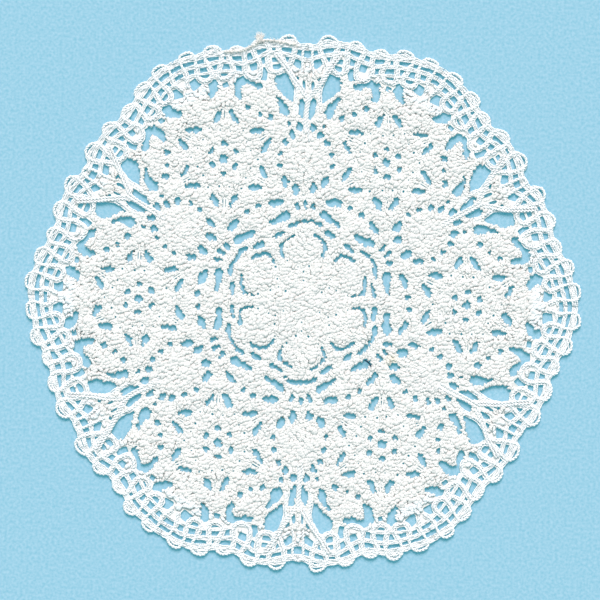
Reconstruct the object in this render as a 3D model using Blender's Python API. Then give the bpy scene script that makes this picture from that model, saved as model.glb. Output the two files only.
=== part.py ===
"""A round lace doily: one flat sheet of machine-made lace, about 15 cm across.

The lace repeats six times round its middle, and each sixth is its own mirror image. The tables
chart half a sixth, from the axis through a rosette (0 degrees) to the axis midway between two
rosettes (30 degrees). Every size in them is in millimetres and every angle in degrees.

An opening is charted as a stroke: the points that it runs through, each with its width there.
Only the large openings are here. The fine ones belong to the stitches.
"""

import math

import bpy

MM = 0.001
NAME = "lace_doily"

SHEET_THICKNESS = 1.4
SIXTHS = 6
SIXTH_TURN = 360 / SIXTHS
HALF_SIXTH_TURN = SIXTH_TURN / 2

# Each scallop of the edge: where it starts and ends, the notch radius where it starts, and the
# radius at its crest. The last row is the plain stretch between two sixths.
SCALLOPS = [
    # start, end, notch, crest
    (0.0, 6.2, 74.5, 76.1),
    (6.2, 11.6, 73.6, 75.3),
    (11.6, 16.8, 71.8, 73.1),
    (16.8, 22.2, 71.2, 73.6),
    (22.2, 28.6, 71.4, 73.4),
    (28.6, 30.0, 70.7, 70.7),
]
SCALLOP_STEPS = 5
SCALLOP_ROUNDNESS = 0.62

# How far the cloth has spread or drawn in since it was made, every 30 degrees from the first
# rosette, as a share of its charted radius.
SPREAD = [1.004, 0.990, 0.992, 0.998, 0.996, 0.994, 1.003, 1.010, 1.003, 1.009, 1.000, 0.991]

# Openings with a mirror image on the other side of the rosette's axis.
PAIRED_OPENINGS = {
    # x along the rosette's axis, y to one side of it, width
    "petal_corner": [
        (13.1, 1.5, 0.7),
        (14.9, 1.7, 1.0),
        (16.5, 2.3, 1.4),
        (16.9, 3.9, 1.0),
        (17.1, 5.5, 1.1),
        (17.1, 7.0, 0.8),
    ],
    "ladder": [(19.4, 1.7, 1.1), (19.4, 3.1, 1.3), (19.1, 4.8, 1.0)],
    "boot": [(23.2, 2.6, 1.2), (23.1, 3.8, 1.4), (23.0, 5.6, 1.7), (23.4, 7.6, 2.6)],
    "shoulder": [(26.8, 8.1, 1.0), (27.4, 7.0, 1.6), (28.0, 5.6, 1.8), (28.4, 4.8, 1.2)],
    "leaf_gap": [(27.4, 13.1, 1.8), (28.8, 14.0, 2.1)],
    "leaf_side": [(29.9, 11.6, 1.1), (31.1, 11.8, 1.8), (32.5, 12.1, 1.2)],
    "fan_slit": [(44.6, 24.5, 0.7), (46.5, 25.1, 1.6), (48.4, 25.9, 1.0)],
    "fan_window": [
        (50.0, 24.1, 1.2),
        (52.0, 24.3, 2.7),
        (54.4, 24.0, 3.6),
        (56.7, 23.8, 3.3),
        (57.9, 23.8, 1.9),
    ],
    "pistol": [(47.6, 20.7, 2.4), (49.0, 21.1, 1.8), (51.2, 21.3, 0.8), (53.1, 20.8, 0.6)],
    "hook": [
        (57.9, 18.3, 1.8),
        (58.7, 17.1, 1.6),
        (60.1, 16.0, 1.0),
        (61.2, 14.8, 1.9),
        (61.2, 13.2, 2.3),
        (59.6, 12.3, 1.9),
        (57.5, 12.0, 1.2),
    ],
    "wing": [(61.9, 5.1, 1.2), (62.6, 6.3, 1.7), (63.7, 7.4, 2.5), (64.9, 7.6, 1.9)],
    "hem_step": [(58.6, 20.2, 0.7), (59.8, 20.9, 1.4), (60.7, 21.7, 1.1)],
    "hem_slot": [(66.3, 17.2, 1.1), (67.1, 16.2, 1.6), (68.1, 15.4, 1.1)],
    "hem_window": [(65.9, 22.2, 0.9), (65.9, 25.0, 1.0)],
    "hem_corner": [(61.7, 30.5, 1.1), (63.8, 28.7, 1.2)],
}

# An opening across the axis between two rosettes, from one end to just short of the axis. Its
# mirror image completes it.
RING_CORNER = [(20.2, 6.6, 1.2), (20.1, 8.6, 1.4), (19.7, 10.1, 1.2)]

# The slot beside each spoke of a rosette, seen from the rosette's own middle.
ROSETTE_RADIUS = 45.0
ROSETTE_SPOKES = 6
SPOKE_TURN = 360 / ROSETTE_SPOKES
SPOKE_SLOT = [
    # out along the spoke, across it, width
    (13.1, 1.5, 0.7),
    (11.6, 2.3, 1.5),
    (10.1, 3.1, 1.1),
]


def turned(x, y, degrees):
    """The point (x, y) turned about the middle."""
    angle = math.radians(degrees)
    return (
        x * math.cos(angle) - y * math.sin(angle),
        x * math.sin(angle) + y * math.cos(angle),
    )


def turned_stroke(stroke, degrees):
    """A stroke turned about the middle."""
    return [(*turned(x, y, degrees), width) for x, y, width in stroke]


def mirrored(stroke):
    """A stroke's mirror image in the first rosette's axis."""
    return [(x, -y, width) for x, y, width in stroke]


def ring_corner():
    """The whole opening across the axis between two rosettes."""
    return RING_CORNER + turned_stroke(mirrored(RING_CORNER), SIXTH_TURN)[::-1]


def rosette_slots():
    """The slots of the first rosette, two beside each spoke."""
    for spoke in range(ROSETTE_SPOKES):
        for slot in (SPOKE_SLOT, mirrored(SPOKE_SLOT)):
            round_rosette = turned_stroke(slot, HALF_SIXTH_TURN + spoke * SPOKE_TURN)
            yield [(x + ROSETTE_RADIUS, y, width) for x, y, width in round_rosette]


def openings():
    """Every opening in the sheet, as a stroke."""
    sixth = [ring_corner(), *rosette_slots()]
    for stroke in PAIRED_OPENINGS.values():
        sixth += [stroke, mirrored(stroke)]
    for number in range(SIXTHS):
        for stroke in sixth:
            yield turned_stroke(stroke, SIXTH_TURN * number)


def stroke_outline(stroke):
    """The closed outline of a stroke, with a point beyond each of its ends."""
    last = len(stroke) - 1
    left, right = [], []
    for i, (x, y, width) in enumerate(stroke):
        before, after = stroke[max(i - 1, 0)], stroke[min(i + 1, last)]
        heading = math.degrees(math.atan2(after[1] - before[1], after[0] - before[0]))
        along_x, along_y = turned(width / 2, 0, heading)
        if i == 0:
            right.append((x - along_x, y - along_y))
        left.append((x - along_y, y + along_x))
        right.append((x + along_y, y - along_x))
        if i == last:
            left.append((x + along_x, y + along_y))
    return left + right[::-1]


def scallop_points():
    """The edge of half a sixth as angles and radii, from the rosette's axis to the next axis."""
    notches = [notch for start, end, notch, crest in SCALLOPS]
    points = []
    for (start, end, notch, crest), next_notch in zip(SCALLOPS, notches[1:]):
        rise = crest - (notch + next_notch) / 2
        for step in range(SCALLOP_STEPS):
            share = step / SCALLOP_STEPS
            crown = math.sin(math.pi * share) ** SCALLOP_ROUNDNESS
            radius = notch + (next_notch - notch) * share + rise * crown
            points.append((start + (end - start) * share, radius))
    start, end, notch, crest = SCALLOPS[-1]
    return [*points, (start, notch), (end, crest)]


def edge_outline():
    """The closed, scalloped outline of the doily."""
    half = scallop_points()
    back = [(SIXTH_TURN - angle, radius) for angle, radius in half[-2:0:-1]]
    points = []
    for number in range(SIXTHS):
        for angle, radius in half + back:
            points.append(turned(radius, 0, angle + SIXTH_TURN * number))
    return points


def spread_at(degrees):
    """The cloth's spread in one direction, eased from one row of SPREAD to the next."""
    place = (degrees % 360) / HALF_SIXTH_TURN
    row = int(place) % len(SPREAD)
    ease = (1 - math.cos(math.pi * (place - int(place)))) / 2
    return SPREAD[row] + (SPREAD[(row + 1) % len(SPREAD)] - SPREAD[row]) * ease


def as_laid(points):
    """Charted points where the slightly uneven cloth has them."""
    laid = []
    for x, y in points:
        spread = spread_at(math.degrees(math.atan2(y, x)))
        laid.append((x * spread, y * spread))
    return laid


def add_outline(curve, points):
    """A closed straight-sided outline on a flat curve."""
    spline = curve.splines.new("POLY")
    spline.points.add(len(points) - 1)
    for place, (x, y) in zip(spline.points, points):
        place.co = (x * MM, y * MM, 0, 1)
    spline.use_cyclic_u = True


def white_cotton():
    """White cotton thread."""
    material = bpy.data.materials.new("white_cotton")
    material.use_nodes = True
    shader = material.node_tree.nodes["Principled BSDF"]
    shader.inputs["Base Color"].default_value = (0.86, 0.87, 0.86, 1)
    shader.inputs["Roughness"].default_value = 0.75
    shader.inputs["Metallic"].default_value = 0
    return material


def build_doily(collection):
    """The sheet of lace, resting on z = 0 with its outline centred on the origin."""
    edge = as_laid(edge_outline())
    middle_x = (max(x for x, y in edge) + min(x for x, y in edge)) / 2
    middle_y = (max(y for x, y in edge) + min(y for x, y in edge)) / 2
    curve = bpy.data.curves.new(NAME, "CURVE")
    curve.dimensions = "2D"
    curve.fill_mode = "BOTH"
    curve.extrude = SHEET_THICKNESS / 2 * MM
    add_outline(curve, edge)
    for stroke in openings():
        add_outline(curve, as_laid(stroke_outline(stroke)))
    curve.materials.append(white_cotton())
    doily = bpy.data.objects.new(NAME, curve)
    doily.location = (-middle_x * MM, -middle_y * MM, SHEET_THICKNESS / 2 * MM)
    collection.objects.link(doily)


def main():
    for obj in list(bpy.data.objects):
        bpy.data.objects.remove(obj, do_unlink=True)
    collection = bpy.data.collections.new("doily")
    bpy.context.scene.collection.children.link(collection)
    build_doily(collection)


main()
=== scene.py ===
"""The looks of a round lace doily, laid flat on pale blue paper and seen from straight above.

A thin ground sheet carries every opening of the lace. Short arched stitches of cotton thread
cover it: edging stitches wind round each opening like the strands of a rope, rows of fill
stitches cover the rest, and coarser ones cover the underside. The lace repeats six times round its
middle, and each sixth is its own mirror image, so the tables chart half a sixth, from the axis
through a rosette (0 degrees) to the axis midway between two rosettes (30 degrees), in millimetres
and degrees.
"""

import math

import bmesh
import bpy
import numpy as np
from mathutils.kdtree import KDTree
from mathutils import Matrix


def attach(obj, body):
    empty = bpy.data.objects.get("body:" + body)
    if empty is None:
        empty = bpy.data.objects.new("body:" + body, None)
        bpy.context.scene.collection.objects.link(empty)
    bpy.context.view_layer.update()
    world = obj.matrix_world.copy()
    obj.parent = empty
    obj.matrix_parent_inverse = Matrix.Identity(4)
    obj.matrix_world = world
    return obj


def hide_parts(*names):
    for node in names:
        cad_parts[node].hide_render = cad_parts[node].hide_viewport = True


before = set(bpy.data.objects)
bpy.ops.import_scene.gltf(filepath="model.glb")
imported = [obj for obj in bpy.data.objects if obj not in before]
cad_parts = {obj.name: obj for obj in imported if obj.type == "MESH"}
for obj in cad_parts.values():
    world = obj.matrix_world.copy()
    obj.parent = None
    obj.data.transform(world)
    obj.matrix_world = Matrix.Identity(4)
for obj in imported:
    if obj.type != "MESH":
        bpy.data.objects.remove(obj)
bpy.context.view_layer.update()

MM = 0.001
NODE = "lace_doily"
SIXTHS = 6
SIXTH_TURN = 360 / SIXTHS
HALF_SIXTH_TURN = SIXTH_TURN / 2

# Each scallop of the edge: where it starts and ends, the notch radius where it starts, and the
# radius at its crest. The last row is the plain stretch between two sixths.
SCALLOPS = [
    # start, end, notch, crest
    (0.0, 6.2, 74.5, 76.1),
    (6.2, 11.6, 73.6, 75.3),
    (11.6, 16.8, 71.8, 73.1),
    (16.8, 22.2, 71.2, 73.6),
    (22.2, 28.6, 71.4, 73.4),
    (28.6, 30.0, 70.7, 70.7),
]
SCALLOP_STEPS = 10
SCALLOP_ROUNDNESS = 0.62

# The share of each side that the cut corners of an opening take, and half the least distance
# between the two ends of one.
CORNER_CUT = 0.22
SHORTEST_RUN = 0.05

# How far the cloth has spread or drawn in since it was made, every 30 degrees from the first
# rosette, as a share of its charted radius.
SPREAD = [1.004, 0.990, 0.992, 0.998, 0.996, 0.994, 1.003, 1.010, 1.003, 1.009, 1.000, 0.991]

# Long openings, charted as strokes, with a mirror image beyond the rosette's axis.
PAIRED_STROKES = {
    # x along the rosette's axis, y to one side of it, width
    "petal_corner": [
        (13.1, 1.5, 0.4), (14.9, 1.7, 0.6), (16.5, 2.3, 1.0), (16.9, 3.9, 0.6),
        (17.1, 5.5, 0.8), (17.1, 7.0, 0.5),
    ],
    "ladder": [(19.4, 1.7, 1.0), (19.4, 3.1, 1.1), (19.1, 4.8, 0.9)],
    "boot": [(23.2, 2.6, 1.2), (23.1, 3.8, 1.4), (23.0, 5.6, 1.7), (23.4, 7.6, 2.6)],
    "shoulder": [(26.8, 8.1, 1.0), (27.4, 7.0, 1.6), (28.0, 5.6, 1.8), (28.4, 4.8, 1.2)],
    "leaf_gap": [(27.4, 13.1, 1.8), (28.8, 14.0, 2.1)],
    "leaf_side": [(29.9, 11.6, 1.1), (31.1, 11.8, 1.8), (32.5, 12.1, 1.2)],
    "fan_slit": [(44.3, 24.4, 1.0), (46.5, 25.1, 1.9), (48.7, 26.0, 1.3)],
    "fan_window": [
        (49.9, 24.2, 1.3), (51.4, 24.5, 2.8), (53.5, 24.3, 3.8), (56.0, 24.0, 4.1),
        (57.4, 24.0, 3.6), (58.0, 24.0, 0.9),
    ],
    "pistol": [(47.7, 20.7, 2.7), (49.1, 21.1, 2.2), (51.2, 21.3, 1.2), (53.1, 20.7, 0.9)],
    "hook": [
        (57.9, 18.3, 1.8), (58.7, 17.1, 1.8), (60.1, 16.0, 1.2), (61.2, 14.8, 2.1),
        (61.2, 13.2, 2.5), (59.6, 12.3, 2.1), (57.4, 12.0, 1.4),
    ],
    "wing": [(61.8, 4.9, 1.3), (62.6, 6.3, 1.9), (63.7, 7.4, 2.7), (64.9, 7.6, 2.0)],
}

# An opening across the axis between two rosettes, from one end to just short of the axis. Its
# mirror image completes it.
RING_CORNER = [(20.2, 6.6, 0.9), (20.2, 8.6, 1.1), (19.6, 10.2, 0.8)]

# Short openings with a mirror image beyond the rosette's axis.
PAIRED_GAPS = [
    # x, y, length, width, tilt
    (23.8, 11.1, 2.5, 1.0, 8),
    (29.0, 1.7, 1.6, 1.4, 0),
    (35.8, 12.5, 1.4, 1.2, 40),
    (38.5, 14.2, 1.5, 1.2, 10),
    (40.8, 16.8, 2.0, 1.6, 60),
    (41.7, 19.5, 2.5, 1.4, 10),
    (42.5, 22.4, 2.7, 1.4, 20),
    (48.7, 16.9, 2.0, 1.8, 90),
    (44.5, 20.0, 1.2, 0.9, 30),
    (51.3, 14.6, 1.3, 1.0, 50),
    (54.2, 12.8, 1.8, 1.5, 0),
    (54.4, 28.0, 1.4, 0.8, 20),
]

# A short opening on the axis between two rosettes.
BETWEEN_ROSETTES = (26.7, 0, 2.5, 1.0, 0)  # as seen along that axis

# Slits between threads that lie side by side. No thread winds round these.
PAIRED_SLITS = [
    # x, y, length, width, tilt
    (51.9, 28.6, 3.2, 1.0, 30),
]

# The openings of the border, between its rope and the threads that cross it.
BORDER_GAPS = [
    # angle, radius, length, width, slope
    (2.5, 67.0, 2.3, 2.0, 10),
    (3.1, 72.6, 2.8, 1.3, -4),
    (5.8, 72.3, 1.4, 1.2, 0),
    (8.3, 71.6, 2.8, 1.0, -18),
    (10.9, 70.6, 1.1, 0.9, 90),
    (3.1, 70.5, 1.9, 1.1, 0),
    (5.6, 69.7, 2.0, 1.4, -10),
    (8.1, 69.2, 1.7, 1.5, -10),
    (10.4, 68.0, 2.2, 1.2, -18),
    (13.4, 69.3, 3.1, 1.4, -31),
    (13.3, 66.4, 2.0, 1.3, -35),
    (16.5, 69.1, 2.0, 1.3, 45),
    (17.0, 66.3, 2.0, 1.2, 8),
    (19.4, 70.0, 3.0, 1.0, 17),
    (19.4, 67.5, 1.9, 1.2, 15),
    (22.4, 70.4, 1.3, 0.9, 0),
    (25.4, 69.7, 3.0, 1.0, -16),
    (25.1, 67.2, 1.3, 1.1, -20),
    (22.6, 64.9, 1.8, 1.3, 0),
    (27.9, 68.4, 1.2, 1.1, -30),
    (27.5, 65.6, 2.3, 1.4, -42),
    (19.1, 63.9, 2.6, 1.2, 72),
    (9.2, 63.3, 0.8, 0.7, 0),
    (9.5, 65.9, 1.7, 0.5, -25),
    (5.3, 67.8, 1.6, 0.5, -8),
    (22.3, 67.2, 0.8, 0.7, 0),
]
AXIS_GAPS = [
    # angle, radius, length, width, slope
    (0.0, 72.8, 2.3, 1.2, 0),
    (0.0, 70.6, 2.6, 0.9, 0),
    (30.0, 67.7, 1.5, 1.4, 0),
]

# How far the sheet's opening runs past each end and side of a border opening, to the middles of
# the strands, and the share of each side that its cut corners take.
CELL_PAST_ENDS = 0.42
CELL_PAST_SIDES = 0.32
CELL_CORNER = 0.12

# The rope of the border runs out round each scallop and in round each loop between two of them.
BORDER_ROPE = [
    # angle, radius
    (0.7, 66.9), (0.9, 68.0), (1.5, 69.2), (1.75, 70.4), (1.6, 71.6), (1.4, 72.8), (1.35, 74.2),
    (1.6, 75.2), (2.2, 75.8), (3.1, 75.95), (4.0, 75.75), (4.6, 75.1), (4.85, 74.1), (4.8, 72.8),
    (4.65, 71.6), (4.3, 70.4), (3.95, 69.2), (3.75, 68.0), (4.0, 67.0), (4.8, 66.4), (5.7, 66.3),
    (6.6, 66.7), (7.1, 67.6), (7.05, 68.8), (6.95, 70.0), (6.75, 71.4), (6.65, 72.8), (6.8, 73.8),
    (7.3, 74.5), (8.1, 74.85), (9.0, 74.8), (9.8, 74.4), (10.35, 73.6), (10.45, 72.6),
    (10.2, 71.5), (9.85, 70.4), (9.35, 69.4), (9.1, 68.6), (8.7, 67.7), (8.25, 66.8), (8.3, 65.9),
    (8.9, 65.2), (9.8, 64.8), (10.8, 64.9), (11.6, 65.4), (11.95, 66.3), (12.0, 67.4),
    (11.9, 68.6), (11.75, 69.8), (11.7, 70.9), (12.0, 71.8), (12.7, 72.4), (13.6, 72.65),
    (14.4, 72.4), (15.1, 71.8), (15.4, 70.9), (15.3, 69.8), (15.2, 68.7), (15.0, 67.6),
    (14.4, 66.6), (14.15, 65.5), (14.3, 64.4), (14.9, 63.5), (15.9, 62.95), (16.9, 62.9),
    (17.7, 63.4), (18.0, 64.4), (18.15, 65.5), (18.3, 66.6), (18.1, 67.8), (17.7, 68.9),
    (17.5, 70.0), (17.45, 71.0), (17.8, 72.0), (18.5, 72.8), (19.4, 73.2), (20.3, 73.05),
    (20.95, 72.4), (21.2, 71.4), (21.25, 70.3), (21.0, 69.2), (20.6, 68.2), (20.6, 67.1),
    (20.3, 66.0), (20.3, 65.0), (20.8, 64.1), (21.7, 63.6), (22.7, 63.5), (23.6, 63.9),
    (24.1, 64.8), (24.3, 65.9), (24.2, 67.1), (24.0, 68.2), (23.7, 69.3), (23.5, 70.4),
    (23.5, 71.5), (23.9, 72.4), (24.7, 73.1), (25.7, 73.35), (26.6, 73.05), (27.2, 72.3),
    (27.45, 71.2), (27.25, 70.1), (27.0, 69.0), (26.7, 67.9), (26.2, 66.9), (25.7, 65.8),
    (25.2, 64.6), (25.2, 63.4), (25.8, 61.9), (26.6, 60.2), (27.1, 58.3), (26.8, 56.2),
    (26.5, 54.2), (26.7, 52.2),
]

# The rope's short run across the axis between two rosettes, up to that axis.
BORDER_BRIDGE = [
    # angle, radius
    (28.4, 62.4), (28.7, 63.8), (28.8, 65.2), (28.85, 66.6), (28.85, 68.0), (28.9, 69.2),
    (29.2, 70.2), (30.0, 70.7),
]

# The threads that cross the border's rope, from the rosette's axis outward round the border.
BORDER_THREADS = {
    # angle, radius
    "outer": [
        (0.0, 74.85), (1.4, 74.7), (3.1, 74.6), (4.9, 74.1), (5.8, 74.05), (6.8, 73.9),
        (8.6, 73.6), (10.4, 72.7), (11.1, 72.25), (11.9, 71.9), (13.6, 71.7), (15.3, 71.2),
        (16.4, 71.05), (17.5, 71.3), (19.4, 72.0), (21.2, 71.95), (22.3, 72.05), (23.5, 72.0),
        (25.6, 72.1), (27.4, 71.1), (28.2, 70.5), (29.0, 70.3), (30.0, 70.6),
    ],
    "upper": [
        (0.0, 74.0), (1.5, 73.95), (3.1, 73.75), (4.8, 73.45), (6.0, 73.2), (7.2, 72.95),
        (8.6, 72.5), (10.0, 71.9), (11.0, 71.5), (12.2, 71.1), (13.6, 70.6), (15.0, 70.2),
        (16.4, 70.35), (17.6, 70.75), (19.4, 71.1), (21.0, 71.35), (22.4, 71.35), (23.6, 71.2),
        (25.4, 70.8), (27.0, 70.1), (28.0, 69.7), (29.0, 69.5), (30.0, 69.4),
    ],
    "middle": [
        (0.0, 71.65), (1.6, 71.55), (3.1, 71.5), (4.6, 71.2), (5.7, 71.0), (6.9, 70.75),
        (8.2, 70.4), (9.6, 69.9), (10.7, 69.4), (11.8, 68.8), (13.2, 68.0), (14.4, 67.5),
        (15.5, 67.6), (16.8, 67.8), (18.1, 68.2), (19.5, 68.8), (20.8, 69.3), (22.3, 69.4),
        (23.7, 69.1), (25.2, 68.4), (26.6, 67.7), (27.8, 67.1), (29.0, 66.3), (30.0, 66.2),
    ],
    "inner": [
        (0.0, 69.7), (1.6, 69.5), (2.8, 69.2), (4.2, 69.0), (5.5, 68.6), (6.9, 68.3),
        (8.0, 67.9), (9.2, 67.3), (10.4, 66.8), (11.9, 66.0), (13.0, 65.2), (14.2, 64.9),
    ],
    "fan": [
        (22.6, 69.0), (23.5, 67.0), (24.3, 65.0), (25.3, 62.9), (26.3, 61.1), (27.3, 59.6),
        (28.3, 58.0), (29.3, 56.2),
    ],
    "stem": [(29.6, 56.6), (29.6, 53.0), (29.5, 50.0), (29.4, 47.0), (29.3, 44.0)],
}
THREADS_ABREAST = {"outer": 2, "upper": 3, "middle": 3, "inner": 2, "fan": 2, "stem": 1}

# A loose greyish yarn lies along the border, as the picture has it, with a frayed tuft.
LOOSE_YARN = [
    # x, y
    (-22.9, 68.0), (-20.8, 68.3), (-18.6, 68.5), (-16.5, 69.2), (-15.0, 70.1), (-13.5, 71.0),
    (-12.0, 71.6), (-9.9, 71.4), (-7.4, 71.2), (-4.9, 70.8), (-3.1, 70.3),
]
TUFT_ROOT = (-13.4, 70.9)
TUFT_HEADING = 93
TUFT_REACH = 2.7

# Pinholes in the solid parts: a radius and an angle.
PINHOLES = [
    # radius, angle from the rosette's axis
    (5.7, 30.0),
    (8.2, 30.0),
    (9.7, 20.0),
    (9.7, -20.0),
    (12.3, 9.0),
    (12.3, -9.0),
]
PINHOLE_WIDTH = 0.58

# A rosette, seen from its own middle. It repeats six times round that middle.
ROSETTE_RADIUS = 45.0
ROSETTE_SPOKES = 6
SPOKE_TURN = 360 / ROSETTE_SPOKES
SPOKE_SLOT = [
    # out along the spoke, across it, width
    (13.1, 1.5, 0.7),
    (11.6, 2.3, 1.6),
    (10.1, 3.1, 1.2),
]
ROSETTE_EYE_WIDTH = 2.6
# An eyelet across the spoke, and a slit beside it: out along it, across it, length, width, tilt.
EYELET = (3.9, 0, 1.9, 1.1, 90)
SPOKE_SLIT = (12.0, 0.35, 2.2, 0.28, 0)
ROSETTE_PINHOLES = [
    # radius, angle from the spoke
    (7.8, 10.0),
    (7.8, -10.0),
    (9.2, 30.0),
]


def turned(x, y, degrees):
    """The point (x, y) turned about the middle."""
    angle = math.radians(degrees)
    return (
        x * math.cos(angle) - y * math.sin(angle),
        x * math.sin(angle) + y * math.cos(angle),
    )


def turned_stroke(stroke, degrees):
    """A stroke turned about the middle."""
    return [(*turned(x, y, degrees), width) for x, y, width in stroke]


def mirrored(stroke):
    """A stroke's mirror image in the first rosette's axis."""
    return [(x, -y, width) for x, y, width in stroke]


def gap(x, y, length, width, tilt):
    """A short opening as a stroke."""
    reach_x, reach_y = turned((length - width) / 2 + SHORTEST_RUN, 0, tilt)
    return [(x - reach_x, y - reach_y, width), (x + reach_x, y + reach_y, width)]


def round_rosette(stroke):
    """The copies of a stroke round a rosette, moved out to where the rosette is."""
    for spoke in range(ROSETTE_SPOKES):
        turn = HALF_SIXTH_TURN + spoke * SPOKE_TURN
        yield [(x + ROSETTE_RADIUS, y, width) for x, y, width in turned_stroke(stroke, turn)]


def wound_openings():
    """The openings of one sixth that thread winds round, as strokes."""
    strokes = [RING_CORNER + turned_stroke(mirrored(RING_CORNER), SIXTH_TURN)[::-1]]
    for stroke in [*PAIRED_STROKES.values(), *(gap(*row) for row in PAIRED_GAPS)]:
        strokes += [stroke, mirrored(stroke)]
    strokes.append(turned_stroke(gap(*BETWEEN_ROSETTES), HALF_SIXTH_TURN))
    for slot in (SPOKE_SLOT, mirrored(SPOKE_SLOT)):
        strokes += round_rosette(slot)
    strokes += round_rosette(gap(*EYELET))
    strokes.append(gap(ROSETTE_RADIUS, 0, ROSETTE_EYE_WIDTH, ROSETTE_EYE_WIDTH, 0))
    return strokes


def border_cell(angle, radius, length, width, slope):
    """The outline of a border opening, out to the middles of the strands that frame it. A
    slope of 0 runs round the border."""
    x, y = turned(radius, 0, angle)
    half_length, half_width = length / 2 + CELL_PAST_ENDS, width / 2 + CELL_PAST_SIDES
    corners = []
    for along, across in ((-1, -1), (1, -1), (1, 1), (-1, 1)):
        step_x, step_y = turned(along * half_length, across * half_width, angle + 90 - slope)
        corners.append((x + step_x, y + step_y))
    return corners


def border_cells():
    """The outlines of the border's openings, all round, as they lie."""
    for number in range(SIXTHS):
        cells = [border_cell(*row) for row in AXIS_GAPS]
        for row in BORDER_GAPS:
            cell = border_cell(*row)
            cells += [cell, [(x, -y) for x, y in cell]]
        for cell in cells:
            corners = [turned(x, y, SIXTH_TURN * number) for x, y in cell]
            yield as_laid(with_round_corners(corners, CELL_CORNER))


def pinhole(radius, angle):
    """A pinhole as a stroke."""
    return gap(*turned(radius, 0, angle), PINHOLE_WIDTH, PINHOLE_WIDTH, angle)


def plain_openings():
    """The openings of one sixth that no thread winds round, as strokes."""
    strokes = []
    for row in PAIRED_SLITS:
        strokes += [gap(*row), mirrored(gap(*row))]
    strokes += [pinhole(*row) for row in PINHOLES]
    slit = gap(*SPOKE_SLIT)
    for stroke in (slit, mirrored(slit), *(pinhole(*row) for row in ROSETTE_PINHOLES)):
        strokes += round_rosette(stroke)
    return strokes


def stroke_outline(stroke, widening=0):
    """The closed outline of a stroke, with a point beyond each of its ends."""
    last = len(stroke) - 1
    left, right = [], []
    for i, (x, y, width) in enumerate(stroke):
        before, after = stroke[max(i - 1, 0)], stroke[min(i + 1, last)]
        heading = math.degrees(math.atan2(after[1] - before[1], after[0] - before[0]))
        along_x, along_y = turned((width + widening) / 2, 0, heading)
        if i == 0:
            right.append((x - along_x, y - along_y))
        left.append((x - along_y, y + along_x))
        right.append((x + along_y, y - along_x))
        if i == last:
            left.append((x + along_x, y + along_y))
    return left + right[::-1]


def with_round_corners(points, cut=CORNER_CUT):
    """A closed outline with each of its corners cut off once."""
    rounder = []
    for (x0, y0), (x1, y1) in zip(points, points[1:] + points[:1]):
        rounder.append((x0 * (1 - cut) + x1 * cut, y0 * (1 - cut) + y1 * cut))
        rounder.append((x0 * cut + x1 * (1 - cut), y0 * cut + y1 * (1 - cut)))
    return rounder


def scallop_points():
    """The edge of half a sixth as angles and radii, from the rosette's axis to the next axis."""
    notches = [notch for start, end, notch, crest in SCALLOPS]
    points = []
    for (start, end, notch, crest), next_notch in zip(SCALLOPS, notches[1:]):
        rise = crest - (notch + next_notch) / 2
        for step in range(SCALLOP_STEPS):
            share = step / SCALLOP_STEPS
            crown = math.sin(math.pi * share) ** SCALLOP_ROUNDNESS
            radius = notch + (next_notch - notch) * share + rise * crown
            points.append((start + (end - start) * share, radius))
    start, end, notch, crest = SCALLOPS[-1]
    return [*points, (start, notch), (end, crest)]


def whole_round(half):
    """The closed outline all round, from the angles and radii of half a sixth."""
    back = [(SIXTH_TURN - angle, radius) for angle, radius in half[-2:0:-1]]
    points = []
    for number in range(SIXTHS):
        for angle, radius in half + back:
            points.append(turned(radius, 0, angle + SIXTH_TURN * number))
    return points


def spread_at(degrees):
    """The cloth's spread in one direction, eased from one row of SPREAD to the next."""
    place = (degrees % 360) / HALF_SIXTH_TURN
    row = int(place) % len(SPREAD)
    ease = (1 - math.cos(math.pi * (place - int(place)))) / 2
    return SPREAD[row] + (SPREAD[(row + 1) % len(SPREAD)] - SPREAD[row]) * ease


def spread_out(points):
    """Charted points moved out or in by the cloth's spread."""
    moved = []
    for x, y in points:
        spread = spread_at(math.degrees(math.atan2(y, x)))
        moved.append((x * spread, y * spread))
    return moved


# Slow waves that shift the cloth along x, and those that shift it along y.
DRIFT_WAVES = [
    # reach, radians per millimetre of x and of y, phase
    [(0.20, 0.12, 0.35, 0.0), (0.14, 0.61, -0.43, 1.0)],
    [(0.20, 0.33, -0.10, 2.0), (0.14, 0.47, 0.57, 0.5)],
]


def drift(x, y):
    """How far the cloth is shifted at one place, in millimetres."""
    return [
        sum(reach * math.sin(u * x + v * y + phase) for reach, u, v, phase in waves)
        for waves in DRIFT_WAVES
    ]


# The middle of the box round the charted edge.
EDGE = np.array(spread_out(whole_round(scallop_points())))
MIDDLE = tuple(((EDGE.max(axis=0) + EDGE.min(axis=0)) / 2).tolist())


def from_middle(x, y):
    """A place as the middle of the sheet sees it."""
    return x - MIDDLE[0], y - MIDDLE[1]


def as_laid(points):
    """Charted points where the slightly uneven cloth has them, seen from the sheet's middle."""
    laid = []
    for x, y in spread_out(points):
        shift_x, shift_y = drift(x, y)
        laid.append(from_middle(x + shift_x, y + shift_y))
    return laid


RANDOM = np.random.default_rng(904)

# The chart measures an opening between the tips of its threads, so the sheet's is this wider.
WIDENING = 0.26
LUMP_STEP = 0.58
LUMP_SIZE = 0.23

# The fewest points of a lumpy outline, and of any other.
FEWEST_LUMPS = 8
FEWEST_POINTS = 5

# How much an opening's width varies from one sixth to the next: wound openings, then plain ones.
WOUND_UNEVENNESS = 0.12
PLAIN_UNEVENNESS = 0.40


def reaches(path):
    """How far along a path each of its points is."""
    return np.concatenate([[0], np.cumsum(np.linalg.norm(np.diff(path, axis=0), axis=1))])


def places_at(path, at):
    """The points that are so far along a path."""
    along = reaches(path)
    return np.stack([np.interp(at, along, path[:, axis]) for axis in (0, 1)], axis=1)


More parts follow.
